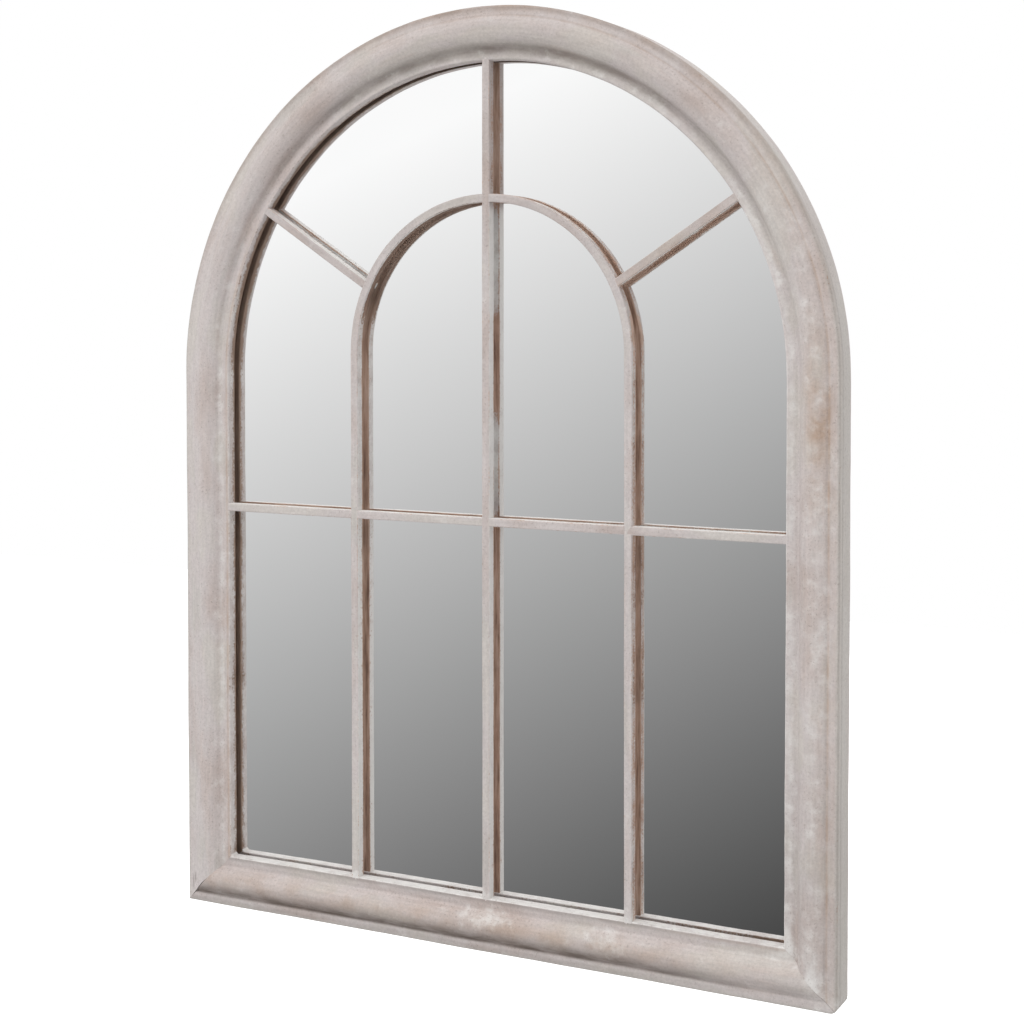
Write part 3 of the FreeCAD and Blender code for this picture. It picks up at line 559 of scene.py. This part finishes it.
def centre_back(x, z):
    """The centre bar's back is painted grey in two stretches under the inner arch, else bare."""
    painted = np.exp(-((z - 108.0) / 54.0) ** 6) + np.exp(-((z + 82.0) / 50.0) ** 4)
    return 1.0 - 0.85 * np.clip(painted, 0, 1)


def left_haunch_share(x, z):
    """1 on the left half of the inner arch, fading to 0 past its crown and at its foot."""
    return np.clip(0.5 - x / 40.0, 0, 1) * np.clip((z - 25.0) / 50.0, 0, 1)


def side_rubbing(x, z):
    """The side bars and the inner arch are rubbed barer to the right."""
    return 0.38 + 0.12 * x / SIDE_PITCH


def arris_rubbing(x, z):
    """How far the arrises have lost their paint: all on the right side bar and the arch's right foot,
    partly on the left side bar above the transom, fading to nothing towards the arch's crown."""
    left = np.clip((-x - 60.0) / 60.0, 0, 1) * np.clip((z - TRANSOM_LEVEL) / 10.0, 0, 1)
    return np.clip((x - 60.0) / 60.0, 0, 1) + 0.6 * left


lattice_bar("whitewashed_centre_bar", "centre_bar", straight_path((0, SILL_LEVEL), (0, LIP_REACH)),
            LIP_REACH - SILL_LEVEL, BAR_FRONT, 0.0,
            lambda x, z: 0.2 + 0.25 * np.clip((z - 160.0) / 20.0, 0, 1), centre_back,
            lambda x, z: 0.15 * np.clip((z - 160.0) / 20.0, 0, 1))
side_length = INNER_ARCH_RISE - SILL_LEVEL
lattice_bar("whitewashed_right_side_bar", "right_side_bar",
            straight_path((SIDE_PITCH + RIGHT_BAR_SET, SILL_LEVEL), (SIDE_PITCH, INNER_ARCH_RISE)),
            side_length, BAR_FRONT - 0.05, 1000.0, side_rubbing, arris_rub=arris_rubbing)
lattice_bar("whitewashed_inner_arch", "inner_arch_bar", arch_path, math.pi * SIDE_PITCH,
            BAR_FRONT - 0.1, 1000.0 + side_length,
            lambda x, z: side_rubbing(x, z) + 0.5 * left_haunch_share(x, z),
            back_dusk=lambda x, z: 0.55 * left_haunch_share(x, z), arris_rub=arris_rubbing)
lattice_bar("whitewashed_left_side_bar", "left_side_bar",
            straight_path((-SIDE_PITCH, INNER_ARCH_RISE), (-SIDE_PITCH, SILL_LEVEL)),
            side_length, BAR_FRONT - 0.05, 1000.0 + side_length + math.pi * SIDE_PITCH, side_rubbing,
            arris_rub=arris_rubbing)
for side, word, side_bare, back_bare, back_dusk, front_tan in (
        (-1, "left", 0.3, 0.2, 0.0, 0.0), (1, "right", 0.62, 0.9, 0.12, 0.4)):
    ray = np.array((side * math.cos(math.radians(RADIAL_ANGLE)), math.sin(math.radians(RADIAL_ANGLE))))
    lattice_bar(f"whitewashed_{word}_radial_bar", f"{word}_radial_bar",
                straight_path(ray * RADIAL_START, ray * LIP_REACH), LIP_REACH - RADIAL_START, BAR_FRONT - 0.2,
                1000.0 * (side + 5), lambda x, z: side_bare, lambda x, z: back_bare + 0 * z,
                lambda x, z: back_dusk + 0 * z, front_tan)
lattice_bar("whitewashed_transom", "transom_bar",
            straight_path((-LIP_REACH, TRANSOM_LEVEL), (LIP_REACH, TRANSOM_LEVEL)),
            2 * LIP_REACH, BAR_FRONT - 0.12, 7000.0, lambda x, z: 0.3,
            lambda x, z: np.clip(0.75 - x / 300.0, 0.3, 1.0))

# Mirror sheet
# One sheet of 4 mm float glass, silvered on its back, cut to the arch and laid in the rabbet.
# The reflecting face stands where the silver appears through the glass.
SILVER_DEPTH = 10.4
SHEET_BACK = 10.0
SHEET_RADIUS = 306.0
SHEET_FOOT = -506.0


def arched_outline(radius, foot, count):
    """The closed outline of an arched sheet in x and z: foot, right side, half circle, left side."""
    turn = np.linspace(0.0, math.pi, count)
    head = radius * np.column_stack((np.cos(turn), np.sin(turn)))
    return np.vstack(((-radius, foot), (radius, foot), head))


sheet_edge = arched_outline(SHEET_RADIUS, SHEET_FOOT, 96)
sheet_rows = [np.column_stack((sheet_edge[:, 0], np.full(len(sheet_edge), -face), sheet_edge[:, 1]))
              for face in (SILVER_DEPTH, SHEET_BACK)]
mirror_sheet = carried_solid("silvered_sheet", np.stack(sheet_rows), np.array([[0.0], [4.0]]),
                             perimeter_lengths(sheet_edge), {})
silvering, silver_tree, silver = new_material("silvered_glass")
silver.inputs["Metallic"].default_value = 1.0
film = speckle(silver_tree, put(silver_tree, "ShaderNodeTexCoord").outputs["Object"], 4.0, 3.0, 0.5)
silver_tree.links.new(ramped(silver_tree, film, ((0.3, (0.935, 0.94, 0.94, 1)), (0.7, (0.95, 0.95, 0.95, 1)))),
                      silver.inputs["Base Color"])
silver_tree.links.new(stepped(silver_tree, film, 0.3, 0.7, 0.003, 0.008), silver.inputs["Roughness"])
mirror_sheet.data.materials.append(silvering)
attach(mirror_sheet, "frame")
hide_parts("mirror_glass")

# Backing board and the points that hold it
# A 3 mm sheet of pressed brown board closes the rabbet behind the glass, and thin steel points
# driven into the rabbet's wall keep it there.
board_finish, board_tree, board_surface = new_material("pressed_board")
board_place = put(board_tree, "ShaderNodeTexCoord").outputs["Object"]
fibre = speckle(board_tree, board_place, 260.0, 6.0, 0.75)
stain = speckle(board_tree, board_place, 7.0, 3.0, 0.5)
board_colour = ramped(board_tree, fibre, (
    (0.3, tone(112, 80, 54)), (0.5, tone(135, 99, 69)), (0.72, tone(158, 122, 90))))
board_stain = stepped(board_tree, stain, 0.4, 0.7, 0.0, 0.35)
board_colour = blended(board_tree, board_stain, board_colour, tone(98, 70, 50))
board_tree.links.new(board_colour, board_surface.inputs["Base Color"])
board_tree.links.new(stepped(board_tree, fibre, 0.3, 0.7, 0.62, 0.85), board_surface.inputs["Roughness"])
board_bump = put(board_tree, "ShaderNodeBump", {"Height": fibre, "Strength": 0.4, "Distance": 0.0005})
board_tree.links.new(board_bump.outputs[0], board_surface.inputs["Normal"])


def worked_metal(name, dark, bright, scale, roughness):
    """Metal with a mottled plating: two tones, fine scratches and an uneven shine."""
    material, tree, surface = new_material(name)
    spot = put(tree, "ShaderNodeTexCoord").outputs["Object"]
    mottle = speckle(tree, spot, scale, 4.0, 0.6)
    scratch = speckle(tree, stretched(tree, spot, (900.0, 900.0, 120.0)), 1.0, 2.0, 0.6)
    surface.inputs["Metallic"].default_value = 1.0
    tree.links.new(ramped(tree, mottle, ((0.35, dark), (0.65, bright))), surface.inputs["Base Color"])
    shine = stepped(tree, scratch, 0.3, 0.7, roughness - 0.08, roughness + 0.1)
    tree.links.new(shine, surface.inputs["Roughness"])
    bump = put(tree, "ShaderNodeBump", {"Height": scratch, "Strength": 0.15, "Distance": 0.0001})
    tree.links.new(bump.outputs[0], surface.inputs["Normal"])
    return material


steel_finish = worked_metal("bright_steel", tone(128, 128, 127), tone(172, 172, 170), 300.0, 0.38)
for node, finish in (("backing_board", board_finish), ("retaining_points", steel_finish),
                     ("corner_v_nails", steel_finish)):
    pieces[node].data.materials.clear()
    pieces[node].data.materials.append(finish)

# Bar pins
# Steel wire pins driven through the ends of the bars, their heads punched flush and painted over.
pin_finish = worked_metal("painted_steel_pins", tone(128, 128, 127), tone(172, 172, 170), 300.0, 0.38)
pin_tree = pin_finish.node_tree
pin_surface = pin_tree.nodes["Principled BSDF"]
pin_place = put(pin_tree, "ShaderNodeTexCoord").outputs["Object"]
pin_length = put(pin_tree, "ShaderNodeSeparateXYZ", {0: pin_place}).outputs["Y"]
pin_head = stepped(pin_tree, pin_length, -0.024, -0.0235, 1.0, 0.0)
pin_paint = ramped(pin_tree, speckle(pin_tree, pin_place, 380.0, 3.0, 0.75),
                   ((0.3, tone(196, 186, 181)), (0.7, tone(216, 209, 205))))
pin_steel = pin_surface.inputs["Base Color"].links[0].from_socket
pin_tree.links.new(blended(pin_tree, pin_head, pin_steel, pin_paint), pin_surface.inputs["Base Color"])
pin_tree.links.new(worked(pin_tree, "SUBTRACT", 1.0, pin_head), pin_surface.inputs["Metallic"])
pieces["bar_pins"].data.materials.clear()
pieces["bar_pins"].data.materials.append(pin_finish)

# Dowels in the arch joints
# Fluted beech pegs glued into both sides of each joint, hidden once the frame is closed.
peg_finish, peg_tree, peg_surface = new_material("beech_pegs")
peg_place = put(peg_tree, "ShaderNodeTexCoord").outputs["Object"]
peg_grain = speckle(peg_tree, stretched(peg_tree, peg_place, (900.0, 900.0, 300.0)), 1.0, 3.0, 0.6)
peg_tree.links.new(ramped(peg_tree, peg_grain, ((0.3, tone(186, 148, 106)), (0.7, tone(214, 182, 142)))),
                   peg_surface.inputs["Base Color"])
peg_tree.links.new(stepped(peg_tree, peg_grain, 0.3, 0.7, 0.6, 0.75), peg_surface.inputs["Roughness"])
peg_bump = put(peg_tree, "ShaderNodeBump", {"Height": peg_grain, "Strength": 0.3, "Distance": 0.0003})
peg_tree.links.new(peg_bump.outputs[0], peg_surface.inputs["Normal"])
pieces["arch_dowels"].data.materials.clear()
pieces["arch_dowels"].data.materials.append(peg_finish)

# Wall hangers
# Zinc-plated strap plates screwed to the stiles, each with a bent wire ring that swings in its eye.
zinc_finish = worked_metal("zinc_plate", tone(134, 137, 139), tone(174, 176, 175), 220.0, 0.36)
for node in ("left_hanger_strap", "right_hanger_strap", "left_hanger_ring", "right_hanger_ring",
             "hanger_screws"):
    pieces[node].data.materials.clear()
    pieces[node].data.materials.append(zinc_finish)

# Wall bumpers
# Two turned rubber feet at the bottom corners of the back that keep the frame off the wall.
bumper_finish, bumper_tree, bumper_surface = new_material("bumper_rubber")
bumper_place = put(bumper_tree, "ShaderNodeTexCoord").outputs["Object"]
bloom = speckle(bumper_tree, bumper_place, 350.0, 4.0, 0.6)
bumper_tree.links.new(ramped(bumper_tree, bloom, ((0.3, tone(38, 38, 38)), (0.7, tone(60, 59, 57)))),
                      bumper_surface.inputs["Base Color"])
bumper_tree.links.new(stepped(bumper_tree, bloom, 0.3, 0.7, 0.6, 0.8), bumper_surface.inputs["Roughness"])
bumper_bump = put(bumper_tree, "ShaderNodeBump", {"Height": bloom, "Strength": 0.2, "Distance": 0.0002})
bumper_tree.links.new(bumper_bump.outputs[0], bumper_surface.inputs["Normal"])
pieces["wall_bumpers"].data.materials.clear()
pieces["wall_bumpers"].data.materials.append(bumper_finish)

# Floor
# The mirror hangs above a plain pale floor, which takes its soft shadow.
FLOOR_LEVEL = -1.6
FLOOR_REACH = 8.0
floor_mesh = bpy.data.meshes.new("pale_floor")
floor_mesh.from_pydata([(x * FLOOR_REACH, y * FLOOR_REACH, FLOOR_LEVEL)
                        for x, y in ((-1, -1), (1, -1), (1, 1), (-1, 1))], [], [(0, 1, 2, 3)])
floor = bpy.data.objects.new("pale_floor", floor_mesh)
bpy.context.scene.collection.objects.link(floor)
floor_paint, floor_tree, floor_surface = new_material("pale_floor")
floor_surface.inputs["Base Color"].default_value = (0.6, 0.6, 0.6, 1)
floor_surface.inputs["Roughness"].default_value = 1.0
floor_surface.inputs["Specular IOR Level"].default_value = 0.0
floor_surface.inputs["Emission Color"].default_value = (1, 1, 1, 1)


def seen_rays(tree):
    """1 for rays that come from the camera, a reflection or a see-through surface, else 0."""
    rays = put(tree, "ShaderNodeLightPath")
    seen = worked(tree, "MAXIMUM", rays.outputs["Is Camera Ray"], rays.outputs["Is Glossy Ray"])
    return worked(tree, "MAXIMUM", seen, rays.outputs["Is Transmission Ray"])


floor_tree.links.new(worked(floor_tree, "MULTIPLY", seen_rays(floor_tree), 0.8),
                     floor_surface.inputs["Emission Strength"])
floor.data.materials.append(floor_paint)

# Graduated card
# A curved card round the front of the studio, bright at the top left and dark at the foot, which
# only the mirror sees. It glows by itself and lights nothing: its gradient is a painted reflection in the
# mirror.
CARD_RADIUS = 3.0
CARD_TOP = 2.4
CARD_SPREAD = 110.0
card_turn, card_height = np.meshgrid(np.linspace(-CARD_SPREAD, CARD_SPREAD, 89),
                                     np.linspace(FLOOR_LEVEL, CARD_TOP, 9))
card_points = np.stack((-CARD_RADIUS * np.sin(np.radians(card_turn)),
                        -CARD_RADIUS * np.cos(np.radians(card_turn)), card_height), axis=-1)
card_index = np.arange(card_turn.size).reshape(card_turn.shape)
card_quads = np.stack((card_index[:-1, :-1], card_index[:-1, 1:], card_index[1:, 1:], card_index[1:, :-1]),
                      axis=-1).reshape(-1, 4)
card_mesh = bpy.data.meshes.new("glowing_reflection_card")
card_mesh.from_pydata(card_points.reshape(-1, 3).tolist(), [], card_quads.tolist())
for card_field, values in (("turn", card_turn), ("height", card_height)):
    card_mesh.attributes.new(card_field, "FLOAT", "POINT").data.foreach_set("value", values.ravel())
card = bpy.data.objects.new("glowing_reflection_card", card_mesh)
bpy.context.scene.collection.objects.link(card)
card.visible_camera = False
card.visible_diffuse = False
card.visible_shadow = False
card_paint, card_tree, card_surface = new_material("glowing_reflection_card")
card_tree.nodes.remove(card_surface)


def held(tree, value, low, high):
    """A value kept between two limits."""
    return put(tree, "ShaderNodeClamp", {"Value": value, "Min": low, "Max": high}).outputs[0]


turn_value = held(card_tree, field(card_tree, "turn"), -10.0, 60.0)
height_value = held(card_tree, field(card_tree, "height"), -1.6, 1.5)
terms = ((2.0813, turn_value), (71.487, height_value),
         (-0.0079, worked(card_tree, "MULTIPLY", turn_value, turn_value)),
         (-0.2995, worked(card_tree, "MULTIPLY", turn_value, height_value)),
         (-5.594, worked(card_tree, "MULTIPLY", height_value, height_value)))
screen_level = 162.3
for weight, term in terms:
    screen_level = worked(card_tree, "ADD", worked(card_tree, "MULTIPLY", term, weight), screen_level)
screen_level = worked(card_tree, "DIVIDE", held(card_tree, screen_level, 60.0, 250.0), 255.0)
screen_level = worked(card_tree, "DIVIDE", worked(card_tree, "ADD", screen_level, 0.055), 1.055)
light_level = worked(card_tree, "POWER", screen_level, 2.4)
glow = put(card_tree, "ShaderNodeEmission", {"Color": (1, 1, 1, 1),
                                             "Strength": worked(card_tree, "DIVIDE", light_level, 0.945)})
card_tree.links.new(glow.outputs[0], card_tree.nodes["Material Output"].inputs["Surface"])
card.data.materials.append(card_paint)

# Studio light
# A pale sky, brighter overhead, and one soft box above and in front, a little to the left.
world = bpy.data.worlds.new("studio")
bpy.context.scene.world = world
world.use_nodes = True
sky = world.node_tree
sky_place = put(sky, "ShaderNodeTexCoord").outputs["Generated"]
upward = put(sky, "ShaderNodeSeparateXYZ", {0: sky_place}).outputs["Z"]
sky_glow = put(sky, "ShaderNodeMapRange", {"Value": upward, "To Min": 0.9, "To Max": 1.0}).outputs["Result"]
sky_level = put(sky, "ShaderNodeMix", {0: seen_rays(sky), 2: sky_glow, 3: 1.0}).outputs[0]
sky.nodes["Background"].inputs["Color"].default_value = (1, 1, 1, 1)
sky.links.new(sky_level, sky.nodes["Background"].inputs["Strength"])

lamp_data = bpy.data.lights.new("overhead_softbox", "AREA")
lamp_data.shape = "RECTANGLE"
lamp_data.size = 1.8
lamp_data.size_y = 1.4
lamp_data.energy = 18.0
lamp = bpy.data.objects.new("overhead_softbox", lamp_data)
bpy.context.scene.collection.objects.link(lamp)
lamp.location = (-0.5, -1.4, 2.1)
lamp.rotation_euler = (math.radians(34), 0.0, math.radians(-15))

# Camera
# A standing viewer to the right of the mirror, level with its arch.
camera_data = bpy.data.cameras.new("camera")
camera_data.sensor_width = 36.0
camera_data.lens = 64.82
camera_data.shift_y = -0.1355
camera = bpy.data.objects.new("camera", camera_data)
bpy.context.scene.collection.objects.link(camera)
camera.location = (0.8143, -1.5512, 0.0612)
camera.rotation_euler = (math.radians(90 - 1.933), 0.0, math.radians(27.265))
bpy.context.scene.camera = camera
bpy.context.scene.view_settings.view_transform = "Standard"
